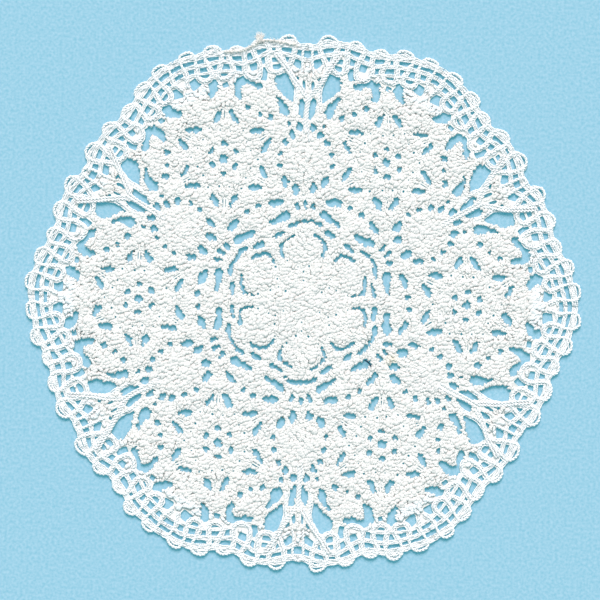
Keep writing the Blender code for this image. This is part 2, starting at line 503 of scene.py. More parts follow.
def even_ring(points, step, fewest):
    """Evenly spaced points round a closed outline."""
    ring = np.array([*points, points[0]])
    length = reaches(ring)[-1]
    count = max(fewest, round(length / step))
    return places_at(ring, np.arange(count) * length / count)


def lumpy(points):
    """A closed outline with small random bumps, as lace has between one stitch and the next."""
    places = even_ring(points, LUMP_STEP, FEWEST_LUMPS)
    places += jitter(LUMP_SIZE, places.shape)
    return [(x, y) for x, y in places.tolist()]


def all_round(strokes, widening, unevenness, bumpy):
    """The outlines of a sixth's strokes, all round the doily, as they lie."""
    for number in range(SIXTHS):
        for stroke in strokes:
            wider = 1 + jitter(unevenness)
            uneven = [(x, y, width * wider) for x, y, width in stroke]
            outline = stroke_outline(turned_stroke(uneven, SIXTH_TURN * number), widening)
            smooth = as_laid(with_round_corners(outline))
            yield lumpy(smooth) if bumpy else smooth


# The ground sheet. It stops an inset short of a wound opening's edge, under its edging stitches.
# At the border it ends a reach past the upper threads and is thinner.
GROUND_BOTTOM = 0.25
GROUND_TOP = 0.90
GROUND_INSET = 0.18
GROUND_REACH = 0.25
GROUND_BORDER = 62.5
GROUND_BORDER_TOP = 0.50
WELD = 0.000001

# Edging stitches, which are shorter round a small opening.
SAMPLE_STEP = 0.2
EDGING_STEP = 0.72
EDGING_INSET = 0.47
EDGING_INSET_JITTER = 0.26
EDGING_JITTER = 0.08
EDGING_SLANT = math.radians(48)
EDGING_SLANT_JITTER = math.radians(24)
EDGING_HALF_LENGTH = 0.66
EDGING_LENGTH_JITTER = 0.32
EDGING_SHORTEST = 0.55
EDGING_FULL_ROUND = 20
EDGING_HEIGHT = 0.88
EDGING_GIRTH = 0.38
EDGING_GIRTH_JITTER = 0.28

# Fill stitches. Their rows follow an edge where the lace is shallow, and one heading where it is
# deep, and their tops rise and fall in slow clouds.
LACE_REACH = 78
FILL_ROW_STEP = 0.74
FILL_STEP = 0.94
FILL_JITTER_ALONG = 0.48
FILL_JITTER_ACROSS = 0.35
FILL_HALF_LENGTH = 0.90
FILL_GIRTH = 0.60
FILL_SIZE_JITTER = 0.25
FILL_SHALLOW = 0.7
FILL_DEEP = 1.9
FILL_HEADING = 22  # degrees
FILL_TURN_SPREAD = math.radians(15)
FILL_HEADING_SPREAD = math.radians(8)
FILL_HEIGHT = 0.86
FILL_HEIGHT_JITTER = 0.05
FILL_RISE = 0.16
FILL_RISE_DEPTHS = (0.2, 1.5)
CLOUD_RISE = 0.10

# The share of its length and of its girth that a stitch has where it is shallow, and what it
# gains where it is deep.
FILL_LENGTHS = (0.8, 0.2)
FILL_GIRTHS = (0.75, 0.25)

# Stitches on the underside, beside those of the fill.
UNDERSIDE_COARSENESS = 1.3
UNDERSIDE_HEIGHT = 0.30
UNDERSIDE_HEIGHT_JITTER = 0.04
UNDERSIDE_SLIMNESS = 0.8

# How far a fill stitch keeps from an edge, and any stitch from a strand.
WOUND_CLEARANCE = 0.52
PLAIN_CLEARANCE = 0.32
ROPE_CLEARANCE = 0.75
STEM_CLEARANCE = 0.30

# The border's ropes and threads.
ROPE_STEP = 0.3
ROPE_HEIGHT = 0.64
ROPE_PLIES = 2
ROPE_PITCH = 1.8
ROPE_PLY_RADIUS = 0.26
ROPE_PLY_REACH = 0.21
ROPE_GIRTH_JITTER = 0.22
ROPE_WOBBLE = 0.1
ROPE_COMPANIONS = (-0.60, 0.60)
COMPANION_HEIGHT = 0.50
COMPANION_TUCK = (70.5, 72.5)
THREAD_STEP = 0.5
THREAD_HEIGHT = 0.64
THREAD_WAVE = 0.16
THREAD_WAVE_TURN = 0.9
THREAD_WOBBLE = 0.06
THREAD_JITTER = 0.09
THREAD_GIRTH = 0.22
THREAD_GIRTH_JITTER = 0.3
THREAD_APART = 0.42
FAN_CORDS = ("fan", "stem")
FAN_LIFT = 0.22
FAN_GIRTH = 0.8
CORD_APART = 0.74
CREST_INSETS = (1.15, 1.75)
CREST_SHARES = np.linspace(0.22, 0.78, 7)
CREST_WOBBLE = 0.05
STRAND_ANGLES = [0, 60, 120, 180, 270]
STRAND_END_GIRTH = 0.5

# The loose yarn, the fuzz along it, and its tuft.
YARN_LIFT = 0.22
YARN_GIRTH = 1.1
FUZZ_STEP = 0.12
FUZZ_LENGTHS = (0.5, 1.1)
TUFT_FIBRES = 70
TUFT_HALF_WIDTH = 0.7
TUFT_HALF_DEPTH = 0.3
TUFT_FAN = 13
TUFT_LENGTHS = (0.6, 1.1)
FIBRE_GIRTH = 0.07
FIBRE_BEND = 50
FIBRE_RUNS = 4
FIBRE_HEIGHTS = (0.9, 1.5)


def unit(vectors):
    """Each row of vectors at a length of one."""
    return vectors / np.linalg.norm(vectors, axis=1)[:, None]


def to_left(ahead):
    """Each direction seen from above, turned a quarter turn to its left."""
    return np.stack([-ahead[:, 1], ahead[:, 0]], axis=1)


def along_ring(ring):
    """The way that a closed outline runs at each of its points."""
    return np.roll(ring, -1, axis=0) - np.roll(ring, 1, axis=0)


def inset_outline(points, inset):
    """A closed outline moved to its left by an inset, or to its right if that is negative."""
    ring = np.array(points)
    return ring + to_left(unit(along_ring(ring))) * inset


def lace_on_left(points, lace_is_inside):
    """The outline's points in the order that keeps the lace on their left."""
    ring = np.array(points)
    after = np.roll(ring, -1, axis=0)
    is_anticlockwise = (ring[:, 0] * after[:, 1] - after[:, 0] * ring[:, 1]).sum() > 0
    return points if is_anticlockwise == lace_is_inside else points[::-1]


def resampled(points, step):
    """Evenly spaced points round a closed outline, with the direction of the outline at each."""
    places = even_ring(points, step, FEWEST_POINTS)
    ahead = along_ring(places)
    return places, np.arctan2(ahead[:, 1], ahead[:, 0])


def smooth_step(low, high, value):
    """0 below low, 1 above high, and an eased slope between them."""
    share = np.clip((value - low) / (high - low), 0, 1)
    return share * share * (3 - 2 * share)


def jitter(amount, count=None):
    """A random number about zero, or a count of them."""
    return RANDOM.uniform(-amount, amount, count)


def tree_of(points):
    """A search tree of points as they are seen from above."""
    tree = KDTree(len(points))
    for number, (x, y) in enumerate(points[:, :2]):
        tree.insert((x, y, 0), number)
    tree.balance()
    return tree


class EdgeMap:
    """Where the nearest edge of the lace is, and which way it runs."""

    def __init__(self, wound, plain):
        sampled = [resampled(outline, SAMPLE_STEP) for outline in wound + plain]
        self.places = np.concatenate([places for places, headings in sampled])
        self.headings = np.concatenate([headings for places, headings in sampled])
        counts = [len(places) for places, headings in sampled]
        is_plain = np.repeat(np.arange(len(sampled)) >= len(wound), counts)
        self.clearances = np.where(is_plain, PLAIN_CLEARANCE, WOUND_CLEARANCE)
        self.slants = np.where(is_plain, 0, EDGING_SLANT)
        self.tree = tree_of(self.places)

    def nearest(self, points):
        """For each point its depth into the lace, below zero outside, the clearance that it
        needs there, and the heading of the stitches along the edge."""
        found = [self.tree.find((x, y, 0)) for x, y in points]
        numbers = np.array([hit[1] for hit in found])
        heading = self.headings[numbers]
        away = np.array(points) - self.places[numbers]
        side = away[:, 1] * np.cos(heading) - away[:, 0] * np.sin(heading)
        distance = np.linalg.norm(away, axis=1)
        depth = np.where(side > 0, distance, -distance)
        return depth, self.clearances[numbers], heading + self.slants[numbers]


def clear_of(strand_tree, rows):
    """The stitches that keep clear of the strands. In the border they keep clear by more."""
    distances = np.array([strand_tree.find((x, y, 0))[2] for x, y in rows[:, :2]])
    in_border = np.hypot(rows[:, 0] + MIDDLE[0], rows[:, 1] + MIDDLE[1]) > GROUND_BORDER
    return rows[distances > np.where(in_border, ROPE_CLEARANCE, STEM_CLEARANCE)]


def ground_edge():
    """The ground's outer edge, just beyond the border's upper threads."""
    half = [(angle, radius + GROUND_REACH) for angle, radius in BORDER_THREADS["upper"]]
    return as_laid(whole_round(half))


def edging_stitches(outlines):
    """Stitches that wind round the edges, as rows of x, y, z, heading, half length, radius."""
    rows = []
    for outline in outlines:
        places, headings = resampled(outline, EDGING_STEP)
        count = len(places)
        length = np.linalg.norm(np.diff(np.array(outline), axis=0), axis=1).sum()
        half = EDGING_HALF_LENGTH * min(1, EDGING_SHORTEST + length / EDGING_FULL_ROUND)
        inset = EDGING_INSET + jitter(EDGING_INSET_JITTER, count)
        x = places[:, 0] - np.sin(headings) * inset + jitter(EDGING_JITTER, count)
        y = places[:, 1] + np.cos(headings) * inset + jitter(EDGING_JITTER, count)
        z = EDGING_HEIGHT + jitter(EDGING_JITTER, count)
        heading = headings + EDGING_SLANT + jitter(EDGING_SLANT_JITTER, count)
        radius = EDGING_GIRTH * (1 + jitter(EDGING_GIRTH_JITTER, count))
        halves = half * (1 + jitter(EDGING_LENGTH_JITTER, count))
        rows.append(np.stack([x, y, z, heading, halves, radius], axis=1))
    return np.concatenate(rows)


# Where the threads run straight out from the middle of the doily: along the axis between two
# rosettes, and along each spoke of a rosette.
AXIS_RUNS = [
    # from, to, half width
    (12.5, 19.5, 1.8),
    (29.0, 38.5, 2.6),
    (46.0, 62.0, 3.4),
]
SPOKE_RUN = (8.8, 15.0, 1.5)


def nearest_axis(x, y, share):
    """The nearest to each point of six axes, in radians. The first is a share of a sixth round."""
    sixths = np.round(np.degrees(np.arctan2(y, x)) / SIXTH_TURN - share)
    return np.radians((sixths + share) * SIXTH_TURN)


def from_axis(x, y, axis):
    """How far each point is out along an axis, and how far across it."""
    return x * np.cos(axis) + y * np.sin(axis), y * np.cos(axis) - x * np.sin(axis)


def from_rosette(x, y):
    """Each point as the middle of the nearest rosette sees it."""
    axis = nearest_axis(x, y, 0)
    return x - ROSETTE_RADIUS * np.cos(axis), y - ROSETTE_RADIUS * np.sin(axis)


def straight_run(x, y):
    """Whether each point lies where the threads run straight, and which way they run there."""
    axis = nearest_axis(x, y, 0.5)
    out, across = from_axis(x, y, axis)
    straight = np.zeros(len(x), dtype=bool)
    for start, end, half_width in AXIS_RUNS:
        straight |= (out > start) & (out < end) & (np.abs(across) < half_width)
    x, y = from_rosette(x, y)
    spoke = nearest_axis(x, y, 0.5)
    out, across = from_axis(x, y, spoke)
    start, end, half_width = SPOKE_RUN
    on_spoke = ~straight & (out > start) & (out < end) & (np.abs(across) < half_width)
    return straight | on_spoke, np.where(on_spoke, spoke, axis)


def cloud(x, y):
    """A slow, uneven wave between -1 and 1."""
    return np.sin(x * 0.9 + 1.3 * np.sin(y * 0.5)) * np.sin(y * 0.8 + 1.1 * np.sin(x * 0.6))


def fill_stitches(edge_map, coarseness=1):
    """Rows of stitches over the solid parts, as rows of the same numbers."""
    rows = np.arange(-LACE_REACH, LACE_REACH, FILL_ROW_STEP * coarseness)
    along = np.arange(-LACE_REACH, LACE_REACH, FILL_STEP * coarseness)
    u, v = np.meshgrid(along, rows)
    u = (u + RANDOM.uniform(0, FILL_STEP, len(rows))[:, None]).ravel()
    v = v.ravel()
    u += jitter(FILL_JITTER_ALONG, len(u))
    v += jitter(FILL_JITTER_ACROSS, len(v))
    x, y = turned(u, v, FILL_HEADING)
    near = np.hypot(x, y) < LACE_REACH
    x, y = x[near], y[near]
    depth, clearance, edge_heading = edge_map.nearest(np.stack([x, y], axis=1))
    inside = depth > clearance
    x, y, depth, edge_heading = x[inside], y[inside], depth[inside], edge_heading[inside]
    count = len(x)
    share = smooth_step(FILL_SHALLOW, FILL_DEEP, depth)
    wound, level = 2 * edge_heading, 2 * math.radians(FILL_HEADING)
    heading = np.arctan2(
        np.sin(wound) * (1 - share) + np.sin(level) * share,
        np.cos(wound) * (1 - share) + np.cos(level) * share,
    )
    straight, run = straight_run(x + MIDDLE[0], y + MIDDLE[1])
    heading = np.where(straight, run, heading / 2 + RANDOM.normal(0, FILL_TURN_SPREAD, count))
    heading += RANDOM.normal(0, FILL_HEADING_SPREAD, count)
    z = FILL_HEIGHT + FILL_RISE * smooth_step(*FILL_RISE_DEPTHS, depth) + CLOUD_RISE * cloud(x, y)
    z += jitter(FILL_HEIGHT_JITTER, count)
    length, girth = (least + gain * share for least, gain in (FILL_LENGTHS, FILL_GIRTHS))
    half = FILL_HALF_LENGTH * coarseness * (1 + jitter(FILL_SIZE_JITTER, count)) * length
    radius = FILL_GIRTH * coarseness * (1 + jitter(FILL_SIZE_JITTER, count)) * girth
    return np.stack([x, y, z, heading, half, radius], axis=1)


def underside_stitches(edge_map, strand_tree):
    """Coarser stitches that show on the sheet's underside, as rows of the same numbers."""
    rows = clear_of(strand_tree, fill_stitches(edge_map, UNDERSIDE_COARSENESS))
    rows[:, 2] = UNDERSIDE_HEIGHT + jitter(UNDERSIDE_HEIGHT_JITTER, len(rows))
    rows[:, 5] *= UNDERSIDE_SLIMNESS
    return rows


def smoothed(points, rounds=2):
    """An open path with its corners rounded off."""
    path = np.array(points)
    for _ in range(rounds):
        near, far = path[:-1], path[1:]
        cut = np.stack([near * 0.75 + far * 0.25, near * 0.25 + far * 0.75], axis=1)
        path = np.concatenate([path[:1], cut.reshape(-1, 2), path[-1:]])
    return path


def evenly(path, step):
    """An open path as evenly spaced points."""
    length = reaches(path)[-1]
    return places_at(path, np.linspace(0, length, round(length / step)))


def border_path(rows, number, side, wobble=ROPE_WOBBLE):
    """A path of the border in one half of one sixth, as it lies."""
    points = []
    for angle, radius in rows:
        x, y = turned(radius, 0, SIXTH_TURN * number + side * angle)
        points.append((x + jitter(wobble), y + jitter(wobble)))
    return smoothed(as_laid(points))


def beside(path, offset):
    """A path a little to one side of another."""
    return path + to_left(unit(np.gradient(path, axis=0))) * offset


def rope_strands(path):
    """The plies of a twisted rope along a path, each as its points and its girth."""
    middle = evenly(path, ROPE_STEP)
    count = len(middle)
    left = to_left(unit(np.gradient(middle, axis=0)))
    turn = math.tau * np.arange(count) * ROPE_STEP / ROPE_PITCH + RANDOM.uniform(0, math.tau)
    strands = []
    for ply in range(ROPE_PLIES):
        angle = turn + math.tau * ply / ROPE_PLIES
        places = middle + left * (np.cos(angle) * ROPE_PLY_REACH)[:, None]
        z = ROPE_HEIGHT + np.sin(angle) * ROPE_PLY_REACH
        girth = ROPE_PLY_RADIUS * (1 + jitter(ROPE_GIRTH_JITTER, count))
        strands.append((np.column_stack([places, z]), girth))
    return strands


def thread_strand(path, height):
    """A single thread along a path, gently waving."""
    middle = evenly(path, THREAD_STEP)
    count = len(middle)
    wave = np.sin(np.arange(count) * THREAD_WAVE_TURN + RANDOM.uniform(0, math.tau))
    x, y = (column + jitter(THREAD_JITTER, count) for column in middle.T)
    places = np.stack([x, y, height + THREAD_WAVE * wave], axis=1)
    return places, THREAD_GIRTH * (1 + jitter(THREAD_GIRTH_JITTER, count))


def crest_arcs():
    """The arcs inside each scallop's crest, in degrees and millimetres."""
    for (start, end, notch, crest), below in zip(SCALLOPS[:-1], SCALLOPS[1:]):
        level = (notch + below[2]) / 2
        for inset in CREST_INSETS:
            arc = []
            for share in CREST_SHARES:
                radius = level + (crest - level) * math.sin(math.pi * share) ** SCALLOP_ROUNDNESS
                arc.append((start + (end - start) * share, radius - inset))
            yield arc


def border_strands():
    """Every strand of the border: those of its twisted ropes, and its single threads."""
    ropes, threads = [], []
    for number in range(SIXTHS):
        for side in (1, -1):
            rope = border_path(BORDER_ROPE, number, side)
            ropes += rope_strands(rope)
            for offset in ROPE_COMPANIONS:
                path = evenly(rope, THREAD_STEP)
                out = np.hypot(path[:, 0] + MIDDLE[0], path[:, 1] + MIDDLE[1])
                tucked = 1 - smooth_step(*COMPANION_TUCK, out)[:, None]
                path += (beside(path, offset) - path) * tucked
                threads.append(thread_strand(path, COMPANION_HEIGHT))
            for name, rows in BORDER_THREADS.items():
                path = border_path(rows, number, side, THREAD_WOBBLE)
                abreast = THREADS_ABREAST[name]
                apart = CORD_APART if name in FAN_CORDS else THREAD_APART
                for place in range(abreast):
                    offset = (place - (abreast - 1) / 2) * apart
                    if name in FAN_CORDS:
                        for places, girth in rope_strands(beside(path, offset)):
                            ropes.append((places + (0, 0, FAN_LIFT), girth * FAN_GIRTH))
                    else:
                        threads.append(thread_strand(beside(path, offset), THREAD_HEIGHT))
            for arc in crest_arcs():
                path = border_path(arc, number, side, CREST_WOBBLE)
                threads.append(thread_strand(path, THREAD_HEIGHT))
        back = [(SIXTH_TURN - angle, radius) for angle, radius in BORDER_BRIDGE[-2::-1]]
        ropes += rope_strands(border_path(BORDER_BRIDGE + back, number, 1))
    return ropes, threads


def loose_yarn():
    """The loose yarn and its tuft: two plies, the fuzz along them and the tuft's fibres."""
    path = smoothed([from_middle(x, y) for x, y in LOOSE_YARN])
    strands = []
    for places, girth in rope_strands(path):
        places[:, 2] += YARN_LIFT
        strands.append((places, girth * YARN_GIRTH))
    for x, y in evenly(path, FUZZ_STEP):
        strands.append(fibre(x, y, RANDOM.uniform(0, 360), RANDOM.uniform(*FUZZ_LENGTHS)))
    root_x, root_y = from_middle(*TUFT_ROOT)
    for _ in range(TUFT_FIBRES):
        x, y = root_x + jitter(TUFT_HALF_WIDTH), root_y + jitter(TUFT_HALF_DEPTH)
        heading = TUFT_HEADING + RANDOM.normal(0, TUFT_FAN)
        strands.append(fibre(x, y, heading, TUFT_REACH * RANDOM.uniform(*TUFT_LENGTHS)))
    return strands


def fibre(x, y, heading, length):
    """A fine curved fibre that starts at (x, y)."""
    bend = jitter(FIBRE_BEND)
    points = [(x, y)]
    for step in range(FIBRE_RUNS):
        step_x, step_y = turned(length / FIBRE_RUNS, 0, heading + bend * step / FIBRE_RUNS)
        points.append((points[-1][0] + step_x, points[-1][1] + step_y))
    height = RANDOM.uniform(*FIBRE_HEIGHTS)
    places = np.array([(px, py, height) for px, py in points])
    return places, np.full(len(places), FIBRE_GIRTH)


# A short dark fibre that lies on the lace in the picture.
DARK_FIBRE = [(17.2, -15.7), (17.9, -16.0), (18.6, -16.6), (19.1, -17.4)]
DARK_FIBRE_GIRTH = 0.16
DARK_FIBRE_HEIGHT = 1.15


def dark_fibre():
    """The dark fibre as one thin strand."""
    places = [(*from_middle(x, y), DARK_FIBRE_HEIGHT) for x, y in smoothed(DARK_FIBRE)]
    return [(np.array(places), np.full(len(places), DARK_FIBRE_GIRTH))]


def finish_mesh(mesh, uvs):
    """Lays the thread's own coordinates on a mesh and shades it smooth."""
    thread_map = mesh.uv_layers.new(name="thread")
    thread_map.data.foreach_set("uv", np.array(uvs, dtype=np.float32).ravel())
    mesh.polygons.foreach_set("use_smooth", np.ones(len(mesh.polygons), dtype=bool))
    return mesh


def tube_faces(along, sides):
    """The faces of a closed tube and the thread's coordinates at their corners, from how far along
    the thread each of its rings is."""
    faces, uvs = [], []
    for ring, (near, far) in enumerate(zip(along, along[1:])):
        a, b = ring * sides, (ring + 1) * sides
        for side in range(sides):
            after = (side + 1) % sides
            low, high = side / sides, (side + 1) / sides
            faces.append([a + side, a + after, b + after, b + side])
            uvs += [(near, low), (near, high), (far, high), (far, low)]
    last = (len(along) - 1) * sides
    faces += [[*reversed(range(sides))], [*range(last, last + sides)]]
    return faces, uvs + [(0.0, 0.0)] * (2 * sides)


def strands_mesh(name, strands):
    """One mesh of many closed tubes that follow their own paths."""
    verts, faces, uvs = [], [], []
    around = np.radians(STRAND_ANGLES)
    for places, girth in strands:
        ahead = unit(np.gradient(places, axis=0))
        across = unit(np.column_stack([to_left(ahead), np.zeros(len(places))]))
        up = np.cross(ahead, across)
        ends = np.ones(len(places))
        ends[[0, -1]] = STRAND_END_GIRTH
        ring = across[:, None] * np.cos(around)[None, :, None]
        ring += up[:, None] * np.sin(around)[None, :, None]
        tube, uv = tube_faces(reaches(places), len(around))
        faces += [[len(verts) + corner for corner in face] for face in tube]
        verts += ((places[:, None] + ring * (girth * ends)[:, None, None]) * MM).reshape(-1, 3).tolist()
        uvs += uv
    mesh = bpy.data.meshes.new(name)
    mesh.from_pydata(verts, [], faces)
    return finish_mesh(mesh, uvs)


# A stitch from end to end: the share of its half length, its girth and how far it dips.
EDGING_RINGS = [(-1.0, 0.5, 1.0), (-0.45, 1.0, 0.15), (0.35, 1.0, 0.1), (1.0, 0.45, 1.0)]
FILL_RINGS = [(-1.0, 0.45, 1.0), (-0.4, 1.0, 0.1), (0.35, 1.0, 0.1), (1.0, 0.4, 1.0)]
UNDERSIDE_RINGS = [(-1.0, 0.45, 1.0), (0.0, 1.0, 0.1), (1.0, 0.45, 1.0)]
STITCH_DIP = 0.16
STITCH_ANGLES = [-12, 60, 120, 192]
STITCH_FLATNESS = 0.36
SIDES = len(STITCH_ANGLES)


def stitch_mesh(name, groups, facing=1):
    """One mesh of many arched stitches, each a closed tube of four sides. A group is rows of
    stitches and their rings. They face up, or down where facing is -1."""
    verts, loops, uvs, first = [], [], [], 0
    for rows, rings in groups:
        x, y, z, heading, half, radius = rows.T
        places = np.empty((len(rows), len(rings), SIDES, 3))
        for ring, (share, girth, dip) in enumerate(rings):
            for side, degrees in enumerate(STITCH_ANGLES):
                angle = math.radians(degrees)
                across = math.cos(angle) * radius * girth
                up = math.sin(angle) * radius * girth * STITCH_FLATNESS
                places[:, ring, side, 0] = x + np.cos(heading) * half * share - np.sin(heading) * across
                places[:, ring, side, 1] = y + np.sin(heading) * half * share + np.cos(heading) * across
                places[:, ring, side, 2] = z + (up - STITCH_DIP * dip) * facing
        quads, uv = tube_faces([share for share, girth, dip in rings], SIDES)
        corners = np.array(quads)[:, ::facing].ravel()
        uv = np.array(uv, dtype=np.float32).reshape(-1, 4, 2)[:, ::facing].reshape(-1, 2)
        uv = np.tile(uv, (len(rows), 1))
        uv[:, 0] *= np.repeat(half, len(corners))
        starts = first + np.arange(len(rows)) * len(rings) * SIDES
        loops.append((starts[:, None] + corners).ravel())
        verts.append(places.reshape(-1, 3))
        uvs.append(uv)
        first += len(verts[-1])
    verts, loops = np.concatenate(verts), np.concatenate(loops)
    mesh = bpy.data.meshes.new(name)
    mesh.vertices.add(len(verts))
    mesh.vertices.foreach_set("co", (verts * MM).astype(np.float32).ravel())
    mesh.loops.add(len(loops))
    mesh.loops.foreach_set("vertex_index", loops.astype(np.int32))
    mesh.polygons.add(len(loops) // 4)
    mesh.polygons.foreach_set("loop_start", np.arange(0, len(loops), 4, dtype=np.int32))
    mesh.update(calc_edges=True)
    finish_mesh(mesh, np.concatenate(uvs))
    mesh.validate()
    return mesh


def linked(name, data):
    """A new object in the scene."""
    thing = bpy.data.objects.new(name, data)
    bpy.context.scene.collection.objects.link(thing)
    return thing


def add_piece(name, data, material):
    """A piece of the doily with its material, riding on the frame's one body."""
    piece = linked(name, data)
    data.materials.append(material)
    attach(piece, "root")
    return piece


def ground_mesh(outlines):
    """The thin sheet under the stitches, with every opening cut through."""
    curve = bpy.data.curves.new("ground", "CURVE")
    curve.dimensions = "2D"
    curve.fill_mode = "BOTH"
    curve.extrude = (GROUND_TOP - GROUND_BOTTOM) / 2 * MM
    for outline in outlines:
        spline = curve.splines.new("POLY")
        spline.points.add(len(outline) - 1)
        for place, (x, y) in zip(spline.points, outline):
            place.co = (x * MM, y * MM, 0, 1)
        spline.use_cyclic_u = True
    holder = linked("ground", curve)
    mesh = bpy.data.meshes.new_from_object(holder.evaluated_get(bpy.context.evaluated_depsgraph_get()))
    bpy.data.objects.remove(holder, do_unlink=True)
    shell = bmesh.new()
    shell.from_mesh(mesh)
    bmesh.ops.remove_doubles(shell, verts=shell.verts, dist=WELD)
    shell.to_mesh(mesh)
    shell.free()
    for vertex in mesh.vertices:
        out = math.hypot(vertex.co.x, vertex.co.y) / MM
        top = GROUND_TOP if out < GROUND_BORDER else GROUND_BORDER_TOP
        vertex.co.z = (top if vertex.co.z > 0 else GROUND_BOTTOM) * MM
    mesh.name = "lace_ground"
    return mesh


def link(tree, source, output, target, socket):
    """One wire between two nodes."""
    tree.links.new(source.outputs[output], target.inputs[socket])


def new_material(name, roughness, specular):
    """A material with its node tree and its shader."""
    material = bpy.data.materials.new(name)
    material.use_nodes = True
    shader = material.node_tree.nodes["Principled BSDF"]
    shader.inputs["Roughness"].default_value = roughness
    shader.inputs["Specular IOR Level"].default_value = specular
    return material, material.node_tree, shader


def value_noise(tree, scale, detail=3.0):
    """A noise texture in the object's own millimetres."""
    nodes = tree.nodes
    place = nodes.new("ShaderNodeTexCoord")
    noise = nodes.new("ShaderNodeTexNoise")
    noise.inputs["Scale"].default_value = scale / MM
    noise.inputs["Detail"].default_value = detail
    link(tree, place, "Object", noise, "Vector")
    return noise


def wandering_color(tree, noise, *ends):
    """A colour that wanders with a noise, between two ends of a ramp: a position and a colour."""
    ramp = tree.nodes.new("ShaderNodeValToRGB")
    for element, (position, color) in zip(ramp.color_ramp.elements, ends):
        element.position = position
        element.color = color
    link(tree, noise, "Fac", ramp, "Fac")
    return ramp


def math_node(tree, operation, source, output, factor=None):
    """One step of arithmetic on a node's output, with a factor where it takes one."""
    node = tree.nodes.new("ShaderNodeMath")
    node.operation = operation
    if factor is not None:
        node.inputs[1].default_value = factor
    link(tree, source, output, node, 0)
    return node


# Cotton: how white it is, how its tint wanders, and the scales of its patches and its grain.
FILL_WHITE = 0.80
# The border's cotton is a whiter, bluer copy of the same cotton. This is painted light: whiter for less
# shade, and bluer for light bounced up from the paper.
ROPE_WHITE_WITH_PAINTED_LIGHT = 0.90
ROPE_PAINTED_BLUE_BOUNCE = 0.035
COTTON_TINTS = [(0.3, (1.01, 0.995, 0.975)), (0.7, (1.07, 1.04, 1.01))]
COTTON_PATCHES = 0.12
COTTON_GRAIN = 1.6
COTTON_RELIEF = 0.04

# A thread's twist: how many plies it has, and how far they turn in a millimetre, in radians.
TWIST_PLIES = 2
TWIST_TURN = 11.0

# A faint cream stain, as the picture has it.
STAIN_PLACE = (24.8, -15.5)
STAIN_HEIGHT = 0.8
STAIN_REACH = 2.6
STAIN_COLOR = (0.80, 0.74, 0.60, 1)
STAIN_STRENGTH = 0.75

# The dark and the light end of each fibre's colour, and of the paper's.
GREY_YARN = [(0.70, 0.67, 0.64, 1), (0.90, 0.87, 0.83, 1)]
NAVY_FIBRE = [(0.010, 0.020, 0.050, 1), (0.030, 0.050, 0.100, 1)]
BLUE_PAPER = [(0.25, (0.223, 0.367, 0.479, 1)), (0.75, (0.370, 0.470, 0.578, 1))]
# The paper glows a faint cyan though it is no lamp. This is painted light that lifts its shadows
# towards cyan.
PAPER_GLOW = (0.0, 0.46, 0.54, 1)
PAPER_GLOW_STRENGTH = 0.30
PAPER_MOTTLE = 1.3
PAPER_SIZE = 3.0


def stain_share(tree):
    """How much of the stain shows: all of it in its middle, fading out."""
    nodes = tree.nodes
    place = nodes.new("ShaderNodeTexCoord")
    away = nodes.new("ShaderNodeVectorMath")
    away.operation = "DISTANCE"
    away.inputs[1].default_value = [value * MM for value in (*from_middle(*STAIN_PLACE), STAIN_HEIGHT)]
    share = nodes.new("ShaderNodeMapRange")
    share.inputs["From Min"].default_value = 0.0
    share.inputs["From Max"].default_value = STAIN_REACH * MM
    share.inputs["To Min"].default_value = STAIN_STRENGTH
    share.inputs["To Max"].default_value = 0.0
    link(tree, place, "Object", away, "Vector")
    link(tree, away, "Value", share, "Value")
    return share


def cotton(name, twisted, white, painted_blue_bounce=0):
    """White cotton: slightly warm and cool by turns, with a fine twist along each thread, and bluer by
    any painted bounce of light from the paper.
    """
    material, tree, shader = new_material(name, 0.82, 0.25)
    nodes = tree.nodes
    ends = []
    for position, tint in COTTON_TINTS:
        shares = zip(tint, (1 - painted_blue_bounce, 1, 1 + painted_blue_bounce))
        ends.append((position, (*(white * share * shift for share, shift in shares), 1)))
    stain = nodes.new("ShaderNodeMix")
    stain.data_type = "RGBA"
    stain.inputs["B"].default_value = STAIN_COLOR
    link(tree, stain_share(tree), "Result", stain, "Factor")
    link(tree, wandering_color(tree, value_noise(tree, COTTON_PATCHES), *ends), "Color", stain, "A")
    link(tree, stain, "Result", shader, "Base Color")
    bump = nodes.new("ShaderNodeBump")
    bump.inputs["Distance"].default_value = COTTON_RELIEF * MM
    if twisted:
        thread = nodes.new("ShaderNodeUVMap")
        thread.uv_map = "thread"
        parts = nodes.new("ShaderNodeSeparateXYZ")
        link(tree, thread, "UV", parts, "Vector")
        around = math_node(tree, "MULTIPLY", parts, "Y", TWIST_PLIES * math.tau)
        turns = math_node(tree, "MULTIPLY_ADD", parts, "X", TWIST_TURN)
        link(tree, around, "Value", turns, 2)
        link(tree, math_node(tree, "SINE", turns, "Value"), "Value", bump, "Height")
    else:
        link(tree, value_noise(tree, COTTON_GRAIN), "Fac", bump, "Height")
    link(tree, bump, "Normal", shader, "Normal")
    return material


def worn_fibre(name, dark, light):
    """Fibre whose colour wanders between a darker and a lighter one."""
    material, tree, shader = new_material(name, 0.9, 0.15)
    color = wandering_color(tree, value_noise(tree, 0.5), (0.35, dark), (0.65, light))
    link(tree, color, "Color", shader, "Base Color")
    return material


def blue_paper():
    """Pale blue paper with a faint mottle, and a faint painted cyan glow that lightens its shadows."""
    material, tree, shader = new_material("blue_paper", 0.9, 0.1)
    shader.inputs["Emission Color"].default_value = PAPER_GLOW
    shader.inputs["Emission Strength"].default_value = PAPER_GLOW_STRENGTH
    color = wandering_color(tree, value_noise(tree, PAPER_MOTTLE, 2.0), *BLUE_PAPER)
    link(tree, color, "Color", shader, "Base Color")
    return material


# How far the flower and the band reach from the doily's middle, and a rosette from its own.
FLOWER_REACH = 30
BAND_REACH = 63.0
ROSETTE_REACH = 15


